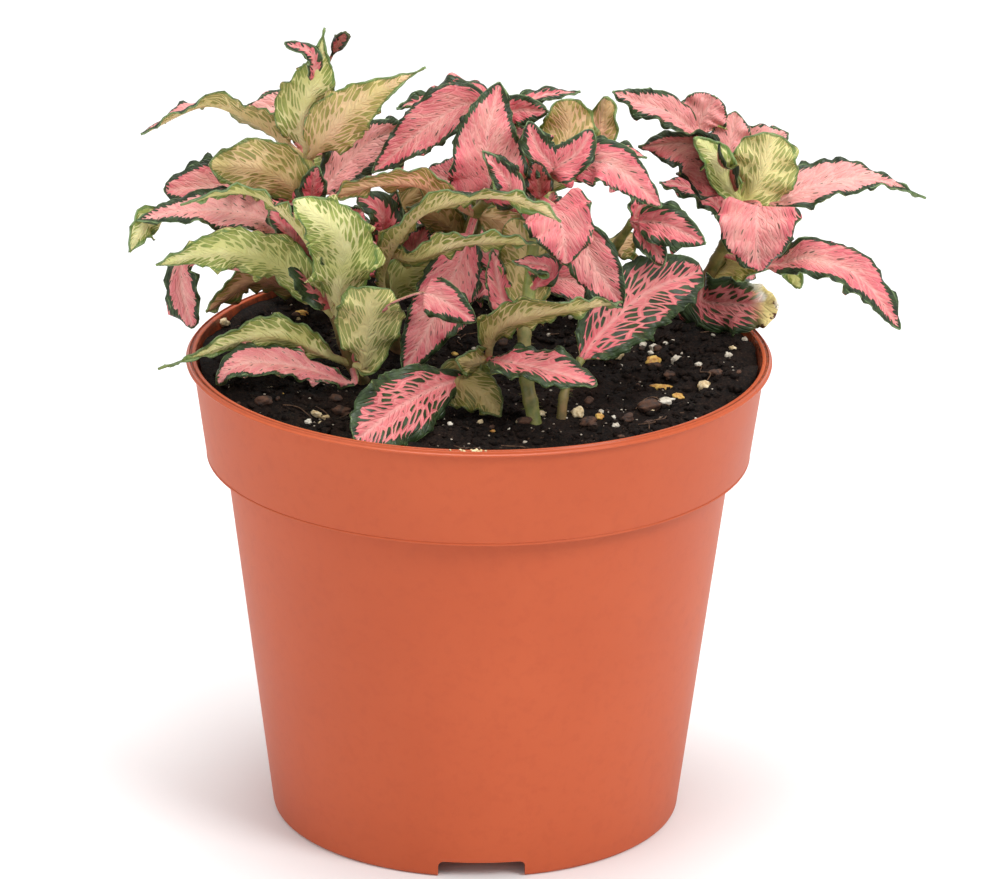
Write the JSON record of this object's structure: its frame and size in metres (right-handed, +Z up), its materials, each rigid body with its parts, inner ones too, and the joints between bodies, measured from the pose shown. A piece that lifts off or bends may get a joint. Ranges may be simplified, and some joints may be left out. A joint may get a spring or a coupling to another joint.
{
  "type": "potted nerve plant",
  "caption": "Small leafy plant with pink-veined, dark-edged leaves growing from potting soil in a round plastic nursery pot.",
  "frame": {"origin": "centre of the pot's underside, on the surface that it stands on", "axes": "+Z up, the front of the plant and one notch of the pot's foot towards -Y"},
  "size_m": [0.1631, 0.1322, 0.1702],
  "materials": {
    "pot_plastic": "satin terracotta-coloured plastic",
    "soil": "damp dark potting mix with perlite and bark",
    "leaf": "satin leaves, pink veined above and green netted beneath"
  },
  "bodies": {
    "root": {"pot": "pot_plastic", "soil": "soil", "stem_left": "leaf", "stem_back_left": "leaf", "stem_middle_left": "leaf", "stem_middle_back": "leaf", "stem_back": "leaf", "stem_back_right": "leaf", "stem_front": "leaf", "stem_low": "leaf", "stem_thin": "leaf", "stem_middle_right": "leaf", "stem_right": "leaf"}
  },
  "joints": []
}
